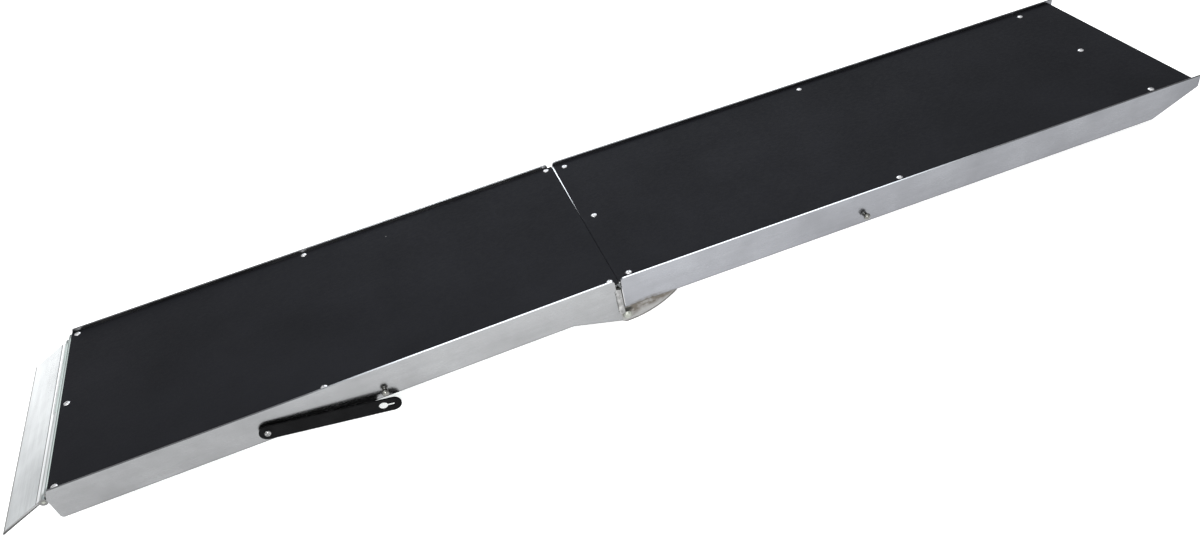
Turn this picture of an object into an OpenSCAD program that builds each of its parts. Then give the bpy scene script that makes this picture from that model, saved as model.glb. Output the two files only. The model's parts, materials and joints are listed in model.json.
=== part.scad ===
// Folding dog ramp: two aluminium halves that fold underside to underside on low side pivots,
// a hinged flap at the ground end and a swinging strap that hooks over a stud when folded.
// Drawn from the deck surface at the fold line, with X along the ramp towards its upper end.
// Near side pieces have negative Y, and far side pieces are their mirror images.

/* [Halves] */
// Width over the two side rails
overall_w = 356; // [320:1:420]
// Length of the lower half's deck
lower_len = 828; // [760:1:900]
// Length of the upper half's deck
upper_len = 1004; // [980:1:1100]
// Gap between the two halves when they stand in line
fold_gap = 0.4; // [0.3:0.1:1]
// How far the upper half's sheets reach past its rails towards the lower half
sheet_reach = 1.2; // [0:0.1:1.2]
// Angle by which the upper half droops at rest
rest_fold = 1.2; // [1:0.1:2]

/* [Deck] */
// Thickness of the deck sheet
deck_t = 3; // [2:0.5:5]
// Thickness of the grip sheet
grip_t = 1.2; // [0.8:0.1:2]
// Bare edge of deck sheet past the grip at the upper end
bare_edge = 1.5; // [0.5:0.5:5]

/* [Side rails] */
// Wall of a side rail
rail_t = 3; // [2:0.5:4]
// Height of a rail's lip above the grip
lip_h = 6; // [4:0.5:12]
// Depth of a rail below the grip
rail_drop = 49; // [46:0.5:54]
// Width of the ledge that carries the deck
ledge_w = 22; // [20:0.5:28]
// Thickness of the ledge
ledge_t = 3; // [2:0.5:4]
// Length of rail past the deck at the ground end
ground_over = 4; // [1:0.5:4.5]
// Length of rail past the deck at the upper end
nose_over = 6; // [2:0.5:12]
// Height of the blunt nose of an upper rail
nose_h = 20; // [16:0.5:26]
// Length of the slanted cut under the nose
nose_cut = 80; // [60:1:100]
// Corner radius of an upper rail's lip beside the fold
lip_r = 7; // [2:0.5:8]
// Corner radius of a lower rail's lip beside the fold
lip_end_r = 4.5; // [2:0.5:6]
// Corner radius at the foot of a lower rail's ground end
foot_r = 5; // [1:0.5:8]
// Length of the cut on a lower rail's upper corner at the ground end
corner_len = 7.5; // [1:0.5:10]
// Height of the cut on a lower rail's upper corner at the ground end
corner_h = 14.5; // [1:0.5:18]

/* [Cross bars] */
// Width of a cross bar
bar_w = 20; // [16:0.5:24]
// Depth of a cross bar
bar_h = 26; // [25:0.5:30]
// Wall of a cross bar
bar_wall = 2; // [1.5:0.5:3]
// Distance from the fold to the lower half's middle bar
lower_mid = 443; // [400:1:480]
// Distance from the fold to the upper half's middle bar
upper_mid = 470; // [430:1:520]
// Distance from the fold to the lower half's fold bar
lower_fold_bar_x = 12; // [12:0.5:16]
// Distance from the fold to the upper half's fold bar
upper_fold_bar_x = 19; // [16:0.5:24]

/* [Fold joint] */
// Depth of the fold's pivot below the grip
pivot_drop = 67.5; // [66:0.5:74]
// Distance of the pivot from the fold line
pivot_x = 2.5; // [1:0.5:4]
// Diameter of a pivot bolt's shank
pivot_d = 8; // [6:0.5:10]
// Diameter of a pivot bolt's head
pivot_head_d = 14; // [12:0.5:16]
// Height of a pivot bolt's head
pivot_head_h = 3.6; // [3:0.1:4]
// Width over the flats of a pivot nut
pivot_nut_af = 13; // [13:0.5:16]
// Height of a pivot nut
pivot_nut_h = 6.5; // [5:0.5:8]
// Radius of the eye round a pivot
eye_r = 13; // [12:0.5:14]
// Thickness of an ear and of a hinge block's tongue
ear_t = 4.5; // [3:0.5:5]
// Length of an ear along its rail
ear_len = 88; // [80:1:100]
// Radius of an ear's curved lower edge
ear_curve_r = 139; // [130:1:160]
// Thickness of the washer between an ear and a tongue
washer_t = 0.8; // [0.6:0.1:1.5]
// Length of a hinge block along its rail
block_len = 60; // [40:1:80]
// Depth of the top of the ears and blocks below the grip
ear_top = 14; // [13:0.5:16]
// Width of a block's tab past the end of its rail
tab_w = 6.8; // [5:0.1:9]
// Depth of the top of a block's tab
tab_top = 8; // [8:0.5:13]
// Depth of the foot of a block's tab
tab_drop = 60; // [55:0.5:62]
// Distance from the fold to where a lower rail starts to deepen
flare_x = 81; // [60:1:100]
// Depth of a lower rail at the fold
flare_drop = 73; // [70:0.5:76]

/* [Ground flap] */
// Length of the flap from its hinge axis to its toe
flap_len = 76; // [60:1:90]
// Thickness of the flap
flap_t = 4.5; // [3:0.5:5]
// Height of the flap's middle plane over its hinge axis
flap_rise = 3.4; // [2:0.1:3.5]
// Width of the groove along the flap's top
groove_w = 2; // [1:0.5:3]
// Depth of the groove
groove_depth = 0.8; // [0.4:0.1:1.2]
// Distance of the groove from the hinge axis
groove_x = 8.4; // [7.5:0.1:10]
// Angle by which the flap droops at rest
flap_rest = 24.5; // [0:0.5:30]
// Thickness of the flap's toe
toe_t = 2; // [1:0.5:3]
// Length of the bevel on the toe
toe_len = 4.5; // [2:0.5:8]
// Radius of the hinge barrel
barrel_r = 6; // [5:0.5:6]
// Diameter of the hinge pin
pin_d = 5; // [4:0.5:6]
// Depth of the hinge axis below the grip
hinge_drop = 14.5; // [14:0.5:15]
// Thickness of the fixed leaf
leaf_t = 4.5; // [3.5:0.5:6]
// Depth of the fixed leaf's foot below the grip
leaf_drop = 28; // [28:0.5:29]
// Depth of the leaf's top edge below the grip
leaf_top = 1; // [0:0.5:2]
// Number of rivets that hold the leaf
leaf_rivets = 6; // [4:2:8]

/* [Latch] */
// Distance from the fold to the strap's screw
strap_x = 536.5; // [525:0.5:550]
// Depth of the strap's screw below the grip
strap_drop = 29.5; // [26:0.5:34]
// Width of the strap
strap_w = 24; // [20:0.5:26]
// Thickness of the strap
strap_t = 3; // [2:0.5:3]
// Distance from the screw to the middle of the strap's round end
strap_len = 175; // [172:1:185]
// Angle of the strap below the deck line at rest
strap_rest = 9; // [6:0.5:14]
// Angle by which the strap leans away from the rail
strap_lean = 1.6; // [1:0.1:2]
// Distance from the screw to the middle of the round hole
keyhole_reach = 161; // [155:0.5:163]
// Diameter of the round hole
keyhole_d = 13; // [12.5:0.5:14]
// Width of the slot
slot_w = 4.4; // [4.2:0.1:5]
// Diameter of the strap's screw
screw_d = 5; // [4:0.5:6]
// Diameter of the screw's head
screw_head_d = 10; // [9:0.5:12]
// Height of the screw's head
screw_head_h = 3.5; // [2.5:0.5:4]
// Diameter of the spacer behind the strap
spacer_d = 14; // [12:0.5:16]
// Length of the spacer behind the strap
spacer_len = 3.3; // [3:0.1:3.5]
// Width over the flats of the small nuts
small_nut_af = 8; // [8:0.5:10]
// Height of the small nuts
small_nut_h = 4; // [3:0.5:5]
// Diameter of a stud's shoulder
shoulder_d = 8; // [7:0.5:9]
// Length of a stud's shoulder
shoulder_len = 3.3; // [3:0.1:3.5]
// Diameter of a stud's neck
neck_d = 4; // [3:0.5:4]
// Length of a stud's neck
neck_len = 3.5; // [3.2:0.1:4.5]
// Diameter of a stud's head
stud_head_d = 11; // [9:0.5:12]
// Length of a stud's head
stud_head_len = 5; // [4:0.5:6]
// Depth of the storage stud below the grip
storage_drop = 35; // [32:0.5:36]
// Depth of the catch stud below the grip
catch_drop = 33.5; // [24:0.5:36]
// Angle of the fold at which the strap reaches the catch stud
latch_fold = 177.5; // [176:0.1:178.5]

/* [Rivets] */
// Diameter of a deck rivet's head
rivet_head_d = 10; // [8:0.5:11]
// Height of a deck rivet's head
rivet_head_h = 1.8; // [1.2:0.1:2.5]
// Diameter of a rivet's shank
rivet_d = 4.8; // [4:0.1:5]
// Diameter of a rivet's spread tail
rivet_tail_d = 7; // [6:0.5:8]
// Length of a rivet's spread tail
rivet_tail_len = 4; // [3:0.5:5]
// Diameter of the hollow in a rivet's head
rivet_hollow_d = 2.2; // [1.5:0.1:2.5]
// Distance of the lower half's rivets from a rail's outer face
lower_rivet_in = 10; // [9:0.5:12]
// Distance of the upper half's rivets from a rail's outer face
upper_rivet_in = 16; // [12:0.5:18]
// Diameter of a leaf rivet's head
leaf_rivet_head_d = 7; // [6:0.5:8]
// Height of a leaf rivet's head
leaf_rivet_head_h = 1.4; // [1:0.1:1.5]

/* [Fits] */
// Radial clearance of a pin or bolt in its hole
bore_gap = 0.05; // [0.03:0.01:0.1]
// Gap between faces that slide past each other
face_gap = 0.2; // [0.1:0.05:0.3]
// Gap between the deck's sheets and the rails
sheet_gap = 0.3; // [0.2:0.1:0.6]
// Gap between the parts of the flap's hinge
hinge_gap = 0.5; // [0.3:0.1:0.6]

/* [Hidden] */

round_fn = 48;
rivet_fn = 32;
arc_steps = 12;
over = 1; // how far a cutter runs past the face it cuts
hex_fn = 6;
aluminium = "#b9bcc0";
mill_white = "#d9dcdd";
black_grip = "#2a2b2e";
black_rubber = "#1c1d1f";
bright_steel = "#c9cccd";

half_w = overall_w / 2;
inner_w = half_w - rail_t;
half_gap = fold_gap / 2;
deck_top = -grip_t;
deck_low = deck_top - deck_t;
ledge_low = deck_low - ledge_t;
ledge_in = inner_w - ledge_w;
tongue_y = inner_w - ear_t - washer_t - 2 * bore_gap;
tongue_in = tongue_y - ear_t;
rail_end_x = half_gap + tab_w;

lower_end_bar_x = lower_len - bar_w / 2;
upper_end_bar_x = upper_len + nose_over - nose_cut;
lower_rivet_y = half_w - lower_rivet_in;
upper_rivet_y = half_w - upper_rivet_in;
lower_stations = [-lower_end_bar_x, -lower_mid, -lower_fold_bar_x];
upper_stations = [upper_fold_bar_x, upper_mid, upper_end_bar_x];
lower_rivet_places = concat(
    [for (x = lower_stations, side = [-1, 1]) [x, side * lower_rivet_y]],
    [[-lower_end_bar_x, 0]]);
upper_rivet_places = concat(
    [for (x = upper_stations, side = [-1, 1]) [x, side * upper_rivet_y]],
    [[upper_fold_bar_x, 0], [upper_end_bar_x, 0]]);

hinge_x = -(lower_len + leaf_t + hinge_gap + barrel_r);
flap_w = 2 * (inner_w - hinge_gap);
pin_r = pin_d / 2;
leaf_rivet_z = -(leaf_drop - leaf_rivet_head_d / 2 - over / 2);
leaf_rivet_step = flap_w / leaf_rivets;

// Both studs stand where their necks enter the strap's slot, stored and folded
latch_reach = keyhole_reach + keyhole_d / 2 + neck_d / 4;
slot_reach = strap_len;
storage_x = -strap_x + sqrt(pow(latch_reach, 2) - pow(strap_drop - storage_drop, 2));

// The strap's screw as it lies from the pivot in the upper half's own frame when that is folded
screw_run = -strap_x - pivot_x;
screw_rise = pivot_drop - strap_drop;
folded_run = screw_run * cos(latch_fold) - screw_rise * sin(latch_fold);
folded_rise = screw_run * sin(latch_fold) + screw_rise * cos(latch_fold);
catch_rise = pivot_drop - catch_drop - folded_rise;
catch_x = pivot_x + folded_run - sqrt(pow(latch_reach, 2) - pow(catch_rise, 2));

strap_back = half_w + spacer_len + face_gap;
strap_out = spacer_len + face_gap + strap_t + (strap_len + strap_w / 2) * sin(strap_lean);
stud_out = shoulder_len + neck_len + stud_head_len;
pivot_head_out = pivot_head_h + face_gap - rail_t;

// The origin is under the middle of the whole ramp, level with the foot of the ears
flap_low = flap_rise - flap_t / 2;
flap_top = flap_rise + flap_t / 2;
reach_low = hinge_x - flap_len * cos(flap_rest) - (flap_low + toe_t) * sin(flap_rest);
reach_high = pivot_x + (upper_len + nose_over - pivot_x) * cos(rest_fold)
    + (lip_h + pivot_drop) * sin(rest_fold);
middle_x = (reach_low + reach_high) / 2;
middle_y = (max(pivot_head_out, 0) - max(stud_out, strap_out)) / 2;
foot_z = -(pivot_drop + eye_r);

module on_lower() {
    translate([-middle_x, -middle_y, -foot_z]) children();
}

module on_upper() {
    on_lower() translate([pivot_x, 0, -pivot_drop]) rotate([0, rest_fold, 0])
        translate([-pivot_x, 0, pivot_drop]) children();
}

module far_side() {
    mirror([0, 1, 0]) children();
}

module both_sides() {
    children();
    far_side() children();
}

// A flat outline in X and Z, from y0 to y1
module slab(y0, y1) {
    translate([0, y1, 0]) rotate([90, 0, 0]) linear_extrude(y1 - y0) children();
}

// A rod along Y at x and z, from y0 to y1
module rod(x, z, y0, y1, r, sides = round_fn) {
    translate([x, y1, z]) rotate([90, 0, 0]) cylinder(r = r, h = y1 - y0, $fn = sides);
}

module block(x0, x1, y0, y1, z0, z1) {
    translate([x0, y0, z0]) cube([x1 - x0, y1 - y0, z1 - z0]);
}

// Removes the square corner outside a round one, where toward gives the corner's two directions
module corner_cutter(x, z, r, toward, y0, y1) {
    x1 = x - toward[0] * r;
    z1 = z - toward[1] * r;
    x2 = x + toward[0] * over;
    z2 = z + toward[1] * over;
    difference() {
        block(min(x1, x2), max(x1, x2), y0, y1, min(z1, z2), max(z1, z2));
        rod(x1, z1, y0 - over, y1 + over, r);
    }
}

module near_corner(x, z, r, toward) {
    corner_cutter(x, z, r, toward, -half_w - over, -inner_w + over);
}

module rivet_holes(places, depth) {
    for (p = places) {
        translate([p[0], p[1], -depth - over])
            cylinder(r = rivet_d / 2 + bore_gap, h = depth + 2 * over, $fn = rivet_fn);
    }
}

// A domed head of the given diameter and height, flat side down
module dome(d, h, sides = rivet_fn) {
    sphere_r = (pow(d / 2, 2) + pow(h, 2)) / (2 * h);
    intersection() {
        translate([0, 0, h - sphere_r]) sphere(r = sphere_r, $fn = sides);
        cylinder(r = d / 2 + over, h = h + over, $fn = sides);
    }
}

// A blind rivet that stands on z = 0 and clamps a stack of the given depth
module rivet(head_d, head_h, stack) {
    difference() {
        union() {
            dome(head_d, head_h);
            translate([0, 0, -stack - over / 2])
                cylinder(r = rivet_d / 2, h = stack + over, $fn = rivet_fn);
            translate([0, 0, -stack - rivet_tail_len])
                cylinder(r = rivet_tail_d / 2, h = rivet_tail_len, $fn = rivet_fn);
        }
        cylinder(r = rivet_hollow_d / 2, h = head_h + over, $fn = rivet_fn);
    }
}

module hex_nut(af, h, hole_r) {
    difference() {
        cylinder(r = af / 2 / cos(180 / hex_fn), h = h, $fn = hex_fn);
        translate([0, 0, -over]) cylinder(r = hole_r, h = h + 2 * over, $fn = round_fn);
    }
}

// Lays a piece drawn upwards from z = 0 so that it points to the far side, from x, y, z
module facing_far(x, y, z) {
    translate([x, y, z]) rotate([-90, 0, 0]) children();
}

module facing_near(x, y, z) {
    translate([x, y, z]) rotate([90, 0, 0]) children();
}

// Deck

module sheet(x0, x1, z0, z1, edge) {
    block(x0, x1, -inner_w + edge, inner_w - edge, z0, z1);
}

module lower_grip() {
    color(black_grip) on_lower() difference() {
        sheet(-lower_len, -half_gap, deck_top, 0, sheet_gap);
        rivet_holes(lower_rivet_places, grip_t);
    }
}

module lower_deck() {
    color(aluminium) on_lower() difference() {
        sheet(-lower_len, -half_gap, deck_low, deck_top, sheet_gap);
        rivet_holes(lower_rivet_places, -deck_low);
    }
}

module upper_grip() {
    color(black_grip) on_upper() difference() {
        sheet(half_gap - sheet_reach, upper_len - bare_edge, deck_top, 0, sheet_gap);
        rivet_holes(upper_rivet_places, grip_t);
    }
}

module upper_deck() {
    color(aluminium) on_upper() difference() {
        sheet(half_gap - sheet_reach, upper_len, deck_low, deck_top, sheet_gap);
        rivet_holes(upper_rivet_places, -deck_low);
    }
}

module lower_deck_rivets() {
    color(bright_steel) on_lower() for (p = lower_rivet_places) {
        translate([p[0], p[1], 0])
            rivet(rivet_head_d, rivet_head_h, p[1] == 0 ? bar_wall - deck_low : -ledge_low);
    }
}

module upper_deck_rivets() {
    color(bright_steel) on_upper() for (p = upper_rivet_places) {
        translate([p[0], p[1], 0])
            rivet(rivet_head_d, rivet_head_h, p[1] == 0 ? bar_wall - deck_low : -ledge_low);
    }
}

// Side rails, drawn on the near side

module ledge(x0, x1) {
    block(x0, x1, -inner_w - rail_t / 2, -ledge_in, ledge_low, deck_low);
}

module lower_rail() {
    foot_x = -(lower_len + ground_over);
    difference() {
        union() {
            slab(-half_w, -inner_w) polygon([[foot_x, -rail_drop], [-flare_x, -rail_drop],
                [-rail_end_x, -flare_drop], [-rail_end_x, lip_h],
                [foot_x + corner_len, lip_h], [foot_x, lip_h - corner_h]]);
            ledge(-lower_len, -rail_end_x);
        }
        near_corner(-rail_end_x, lip_h, lip_end_r, [1, 1]);
        near_corner(foot_x, -rail_drop, foot_r, [-1, -1]);
        rivet_holes(lower_rivet_places, -ledge_low);
    }
}

module upper_rail() {
    tip_x = upper_len + nose_over;
    difference() {
        union() {
            slab(-half_w, -inner_w) polygon([[half_gap, -rail_drop],
                [tip_x - nose_cut, -rail_drop], [tip_x, lip_h - nose_h], [tip_x, lip_h],
                [half_gap, lip_h]]);
            ledge(half_gap, upper_len);
        }
        near_corner(half_gap, lip_h, lip_r, [-1, 1]);
        rivet_holes(upper_rivet_places, -ledge_low);
    }
}

module small_bore(x, z) {
    rod(x, z, -half_w - over, -inner_w + over, screw_d / 2 + bore_gap);
}

module lower_rail_near() {
    color(aluminium) on_lower() difference() {
        lower_rail();
        small_bore(-strap_x, -strap_drop);
        small_bore(storage_x, -storage_drop);
    }
}

module lower_rail_far() {
    color(aluminium) on_lower() far_side() lower_rail();
}

module upper_rail_near() {
    color(aluminium) on_upper() difference() {
        upper_rail();
        small_bore(catch_x, -catch_drop);
    }
}

module upper_rail_far() {
    color(aluminium) on_upper() far_side() upper_rail();
}

// Cross bars: channels open below, cut back at their ends to pass under the ledges

module cross_bar(x, end_y) {
    difference() {
        block(x - bar_w / 2, x + bar_w / 2, -end_y, end_y, deck_low - bar_h, deck_low);
        block(x - bar_w / 2 + bar_wall, x + bar_w / 2 - bar_wall, -end_y - over, end_y + over,
            deck_low - bar_h - over, deck_low - bar_wall);
        both_sides() block(x - bar_w, x + bar_w, -end_y - over, -ledge_in, ledge_low,
            deck_low + over);
        translate([x, 0, deck_low - bar_wall - over])
            cylinder(r = rivet_d / 2 + bore_gap, h = bar_wall + 2 * over, $fn = rivet_fn);
    }
}

module lower_end_bar() {
    color(aluminium) on_lower() difference() {
        cross_bar(-lower_end_bar_x, inner_w);
        for (i = [0 : leaf_rivets - 1]) {
            facing_far_x(i) cylinder(r = rivet_d / 2 + bore_gap, h = bar_wall + 2 * over,
                $fn = rivet_fn);
        }
    }
}

module lower_mid_bar() {
    color(aluminium) on_lower() cross_bar(-lower_mid, inner_w);
}

module lower_fold_bar() {
    color(aluminium) on_lower() cross_bar(-lower_fold_bar_x, tongue_in);
}

module upper_fold_bar() {
    color(aluminium) on_upper() cross_bar(upper_fold_bar_x, inner_w - ear_t);
}

module upper_mid_bar() {
    color(aluminium) on_upper() cross_bar(upper_mid, inner_w);
}

module upper_end_bar() {
    color(aluminium) on_upper() cross_bar(upper_end_bar_x, inner_w);
}

// Fold joint, drawn on the near side

module pivot_bore(y0, y1) {
    rod(pivot_x, -pivot_drop, y0, y1, pivot_d / 2 + bore_gap);
}

// Fills the lower rail's end, then steps inwards to a tongue that passes behind the ear
module hinge_block() {
    difference() {
        union() {
            block(-half_gap - block_len, -half_gap, -inner_w, -tongue_in, -rail_drop + bar_wall,
                -ear_top);
            block(-rail_end_x, -half_gap, -half_w, -inner_w, -tab_drop, -tab_top);
            block(-rail_end_x, -half_gap, -inner_w - rail_t / 2, -tongue_y,
                -rail_drop + bar_wall, -ear_top);
            rod(pivot_x, -pivot_drop, -tongue_y, -tongue_in, eye_r);
            slab(-tongue_y, -tongue_in) polygon([[pivot_x, -pivot_drop - eye_r],
                [pivot_x + eye_r, -pivot_drop], [-half_gap, -ear_top],
                [-block_len / 2, -rail_drop + bar_wall]]);
        }
        near_corner(-half_gap, -tab_top, tab_w / 2, [1, 1]);
        rod(pivot_x, -pivot_drop, -half_w - over, -inner_w, pivot_head_d / 2 + over);
        pivot_bore(-half_w, 0);
    }
}

// Stands against the upper rail's inner face and hangs below it, a little further in, so that
// the hanging part passes behind the lower rail when the ramp is folded
module hinge_ear() {
    step_x = ear_len - eye_r / 3;
    span = step_x - pivot_x;
    sweep = asin(span / ear_curve_r);
    edge = [for (i = [0 : arc_steps]) [pivot_x + ear_curve_r * sin(sweep * i / arc_steps),
        -pivot_drop - eye_r + ear_curve_r * (1 - cos(sweep * i / arc_steps))]];
    difference() {
        union() {
            slab(-inner_w + face_gap, -inner_w + ear_t) polygon(concat([[half_gap, -ear_top],
                [half_gap, -pivot_drop + eye_r]], edge,
                [[ear_len, -rail_drop], [ear_len, -ear_top]]));
            block(half_gap, ear_len, -inner_w, -inner_w + ear_t, -rail_drop, -ear_top);
            rod(pivot_x, -pivot_drop, -inner_w + face_gap, -inner_w + ear_t, eye_r);
        }
        pivot_bore(-half_w, 0);
    }
}

module hinge_block_near() {
    color(aluminium) on_lower() hinge_block();
}

module hinge_block_far() {
    color(aluminium) on_lower() far_side() hinge_block();
}

module hinge_ear_near() {
    color(aluminium) on_upper() hinge_ear();
}

module hinge_ear_far() {
    color(aluminium) on_upper() far_side() hinge_ear();
}

module pivot_bolts() {
    shank = inner_w + face_gap - tongue_in + pivot_nut_h + over;
    color(bright_steel) on_lower() both_sides() {
        facing_near(pivot_x, -inner_w - face_gap, -pivot_drop)
            dome(pivot_head_d, pivot_head_h, round_fn);
        facing_far(pivot_x, -inner_w - face_gap - over / 2, -pivot_drop)
            cylinder(r = pivot_d / 2, h = shank + over / 2, $fn = round_fn);
    }
}

module pivot_washers() {
    color(black_rubber) on_lower() both_sides() difference() {
        rod(pivot_x, -pivot_drop, -tongue_y - bore_gap - washer_t, -tongue_y - bore_gap,
            eye_r - over);
        pivot_bore(-half_w, 0);
    }
}

module pivot_nuts() {
    color(bright_steel) on_lower() both_sides() facing_far(pivot_x, -tongue_in, -pivot_drop)
        hex_nut(pivot_nut_af, pivot_nut_h, pivot_d / 2 + bore_gap);
}

// Ground flap: the leaf carries the barrel's far half and the flap its near half

// Places a piece drawn upwards on the leaf rivet of number i, pointing along the ramp
module facing_far_x(i) {
    translate([-lower_len - over, (i + 0.5) * leaf_rivet_step - flap_w / 2, leaf_rivet_z])
        rotate([0, 90, 0]) children();
}

module flap_leaf() {
    web_x = -lower_len - leaf_t;
    color(mill_white) on_lower() difference() {
        union() {
            block(web_x, -lower_len, -flap_w / 2, flap_w / 2, -leaf_drop, -leaf_top);
            rod(hinge_x, -hinge_drop, hinge_gap / 2, flap_w / 2, barrel_r);
            block(hinge_x, web_x + leaf_t / 2, hinge_gap / 2, flap_w / 2,
                -hinge_drop - 0.75 * barrel_r, -hinge_drop);
        }
        rod(hinge_x, -hinge_drop, -over, flap_w / 2 + over, pin_r + bore_gap);
        for (i = [0 : leaf_rivets - 1]) {
            facing_far_x(i) translate([0, 0, -leaf_t])
                cylinder(r = rivet_d / 2 + bore_gap, h = leaf_t + 2 * over, $fn = rivet_fn);
        }
    }
}

module flap_leaf_rivets() {
    color(bright_steel) on_lower() for (i = [0 : leaf_rivets - 1]) {
        facing_far_x(i) translate([0, 0, over - leaf_t]) mirror([0, 0, 1])
            rivet(leaf_rivet_head_d, leaf_rivet_head_h, leaf_t + bar_wall);
    }
}

module flap_pin() {
    color(bright_steel) on_lower() rod(hinge_x, -hinge_drop, -flap_w / 2, flap_w / 2, pin_r);
}

module ground_flap() {
    color(mill_white) on_lower() translate([hinge_x, 0, -hinge_drop]) rotate([0, -flap_rest, 0])
        difference() {
            union() {
                slab(-flap_w / 2, flap_w / 2) polygon([[0, flap_top],
                    [toe_len - flap_len, flap_top], [-flap_len, flap_low + toe_t],
                    [-flap_len, flap_low], [0, flap_low]]);
                rod(0, 0, -flap_w / 2, -hinge_gap / 2, barrel_r);
            }
            block(-groove_x - groove_w / 2, -groove_x + groove_w / 2, -flap_w / 2 - over,
                flap_w / 2 + over, flap_top - groove_depth, flap_top + over);
            rod(0, 0, -hinge_gap / 2, flap_w / 2 + over, barrel_r + hinge_gap);
            rod(0, 0, -flap_w / 2 - over, 0, pin_r + bore_gap);
        }
}

// Latch

module latch_strap() {
    color(black_rubber) on_lower() translate([-strap_x, 0, -strap_drop])
        rotate([0, strap_rest, 0]) difference() {
            translate([0, -strap_back, 0]) rotate([0, 0, -strap_lean]) difference() {
                union() {
                    rod(0, 0, -strap_t, 0, strap_w / 2);
                    rod(strap_len, 0, -strap_t, 0, strap_w / 2);
                    block(0, strap_len, -strap_t, 0, -strap_w / 2, strap_w / 2);
                }
                rod(keyhole_reach, 0, -strap_t - over, over, keyhole_d / 2);
                rod(slot_reach, 0, -strap_t - over, over, slot_w / 2);
                block(keyhole_reach, slot_reach, -strap_t - over, over, -slot_w / 2, slot_w / 2);
            }
            rod(0, 0, -strap_back - strap_t - over, -strap_back + over, screw_d / 2 + bore_gap);
        }
}

module strap_screw() {
    head_y = -strap_back - strap_t - 2 * face_gap;
    color(bright_steel) on_lower() {
        facing_near(-strap_x, head_y, -strap_drop) difference() {
            dome(screw_head_d, screw_head_h, round_fn);
            for (turn = [0, 90]) {
                rotate([0, 0, turn]) translate([-screw_head_d / 4, -over / 2, screw_head_h / 2])
                    cube([screw_head_d / 2, over, screw_head_h]);
            }
        }
        rod(-strap_x, -strap_drop, head_y - over / 2, -inner_w + small_nut_h + over, screw_d / 2);
    }
}

module strap_spacer() {
    color(bright_steel) on_lower() difference() {
        rod(-strap_x, -strap_drop, -half_w - spacer_len, -half_w, spacer_d / 2);
        rod(-strap_x, -strap_drop, -half_w - spacer_len - over, -half_w + over,
            screw_d / 2 + bore_gap);
    }
}

module small_nut(x, z) {
    facing_far(x, -inner_w, z) hex_nut(small_nut_af, small_nut_h, screw_d / 2 + bore_gap);
}

// A stud with a shoulder, a neck for the strap's slot and a head that passes its round hole
module latch_stud(x, z) {
    neck_y = -half_w - shoulder_len;
    head_y = neck_y - neck_len;
    rod(x, z, neck_y, -half_w, shoulder_d / 2);
    rod(x, z, head_y - over, neck_y + over, neck_d / 2);
    rod(x, z, -half_w - over, -inner_w + small_nut_h + over, screw_d / 2);
    facing_near(x, head_y, z) intersection() {
        translate([0, 0, stud_head_len - stud_head_d / 2])
            sphere(r = stud_head_d / 2, $fn = round_fn);
        cylinder(r = stud_head_d, h = stud_head_len + over, $fn = round_fn);
    }
}

module strap_nut() {
    color(bright_steel) on_lower() small_nut(-strap_x, -strap_drop);
}

module storage_stud() {
    color(bright_steel) on_lower() latch_stud(storage_x, -storage_drop);
}

module storage_stud_nut() {
    color(bright_steel) on_lower() small_nut(storage_x, -storage_drop);
}

module catch_stud() {
    color(bright_steel) on_upper() latch_stud(catch_x, -catch_drop);
}

module catch_stud_nut() {
    color(bright_steel) on_upper() small_nut(catch_x, -catch_drop);
}

lower_grip();
lower_deck();
lower_rail_near();
lower_rail_far();
lower_end_bar();
lower_mid_bar();
lower_fold_bar();
lower_deck_rivets();
hinge_block_near();
hinge_block_far();
pivot_bolts();
pivot_washers();
pivot_nuts();
flap_leaf();
flap_leaf_rivets();
flap_pin();
ground_flap();
latch_strap();
strap_screw();
strap_spacer();
strap_nut();
storage_stud();
storage_stud_nut();
upper_grip();
upper_deck();
upper_rail_near();
upper_rail_far();
upper_fold_bar();
upper_mid_bar();
upper_end_bar();
upper_deck_rivets();
hinge_ear_near();
hinge_ear_far();
catch_stud();
catch_stud_nut();
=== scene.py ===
import json
from math import cos, pi, radians, sin

import bmesh
import bpy
from mathutils import Matrix, Vector


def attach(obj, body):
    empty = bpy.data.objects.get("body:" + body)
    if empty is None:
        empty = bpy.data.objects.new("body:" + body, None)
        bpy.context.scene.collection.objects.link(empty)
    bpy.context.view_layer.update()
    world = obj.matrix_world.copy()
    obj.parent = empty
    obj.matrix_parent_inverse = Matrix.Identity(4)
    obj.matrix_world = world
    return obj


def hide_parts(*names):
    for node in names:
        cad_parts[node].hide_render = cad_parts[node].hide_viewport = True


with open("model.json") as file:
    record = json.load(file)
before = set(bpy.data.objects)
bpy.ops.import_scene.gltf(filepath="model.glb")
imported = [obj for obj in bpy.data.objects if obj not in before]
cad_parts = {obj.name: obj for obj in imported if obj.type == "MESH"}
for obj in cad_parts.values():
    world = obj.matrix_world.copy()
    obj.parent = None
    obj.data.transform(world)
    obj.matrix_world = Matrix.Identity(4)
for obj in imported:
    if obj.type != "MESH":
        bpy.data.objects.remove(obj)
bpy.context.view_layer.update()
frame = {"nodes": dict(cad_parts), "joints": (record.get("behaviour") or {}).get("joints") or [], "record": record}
bodyOf = {name: body for body, names in frame["record"]["behaviour"]["bodies"].items()
          for name in names}
joints = {joint["name"]: joint for joint in frame["joints"]}
print("ramp: CAD frame loaded")

# The ramp was drawn in millimetres from the deck surface at the fold line
pivotDrawn = Vector((2.5, 0, -67.5))
restFold = radians(1.2)
halfWidth = 178.0
sheetHalf = 174.7
lowerHalf = (Matrix.Translation(joints["fold"]["pos_m"]) @ Matrix.Scale(0.001, 4)
             @ Matrix.Translation(-pivotDrawn))
upperHalf = (lowerHalf @ Matrix.Translation(pivotDrawn) @ Matrix.Rotation(restFold, 4, "Y")
             @ Matrix.Translation(-pivotDrawn))


# building and dressing

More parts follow.
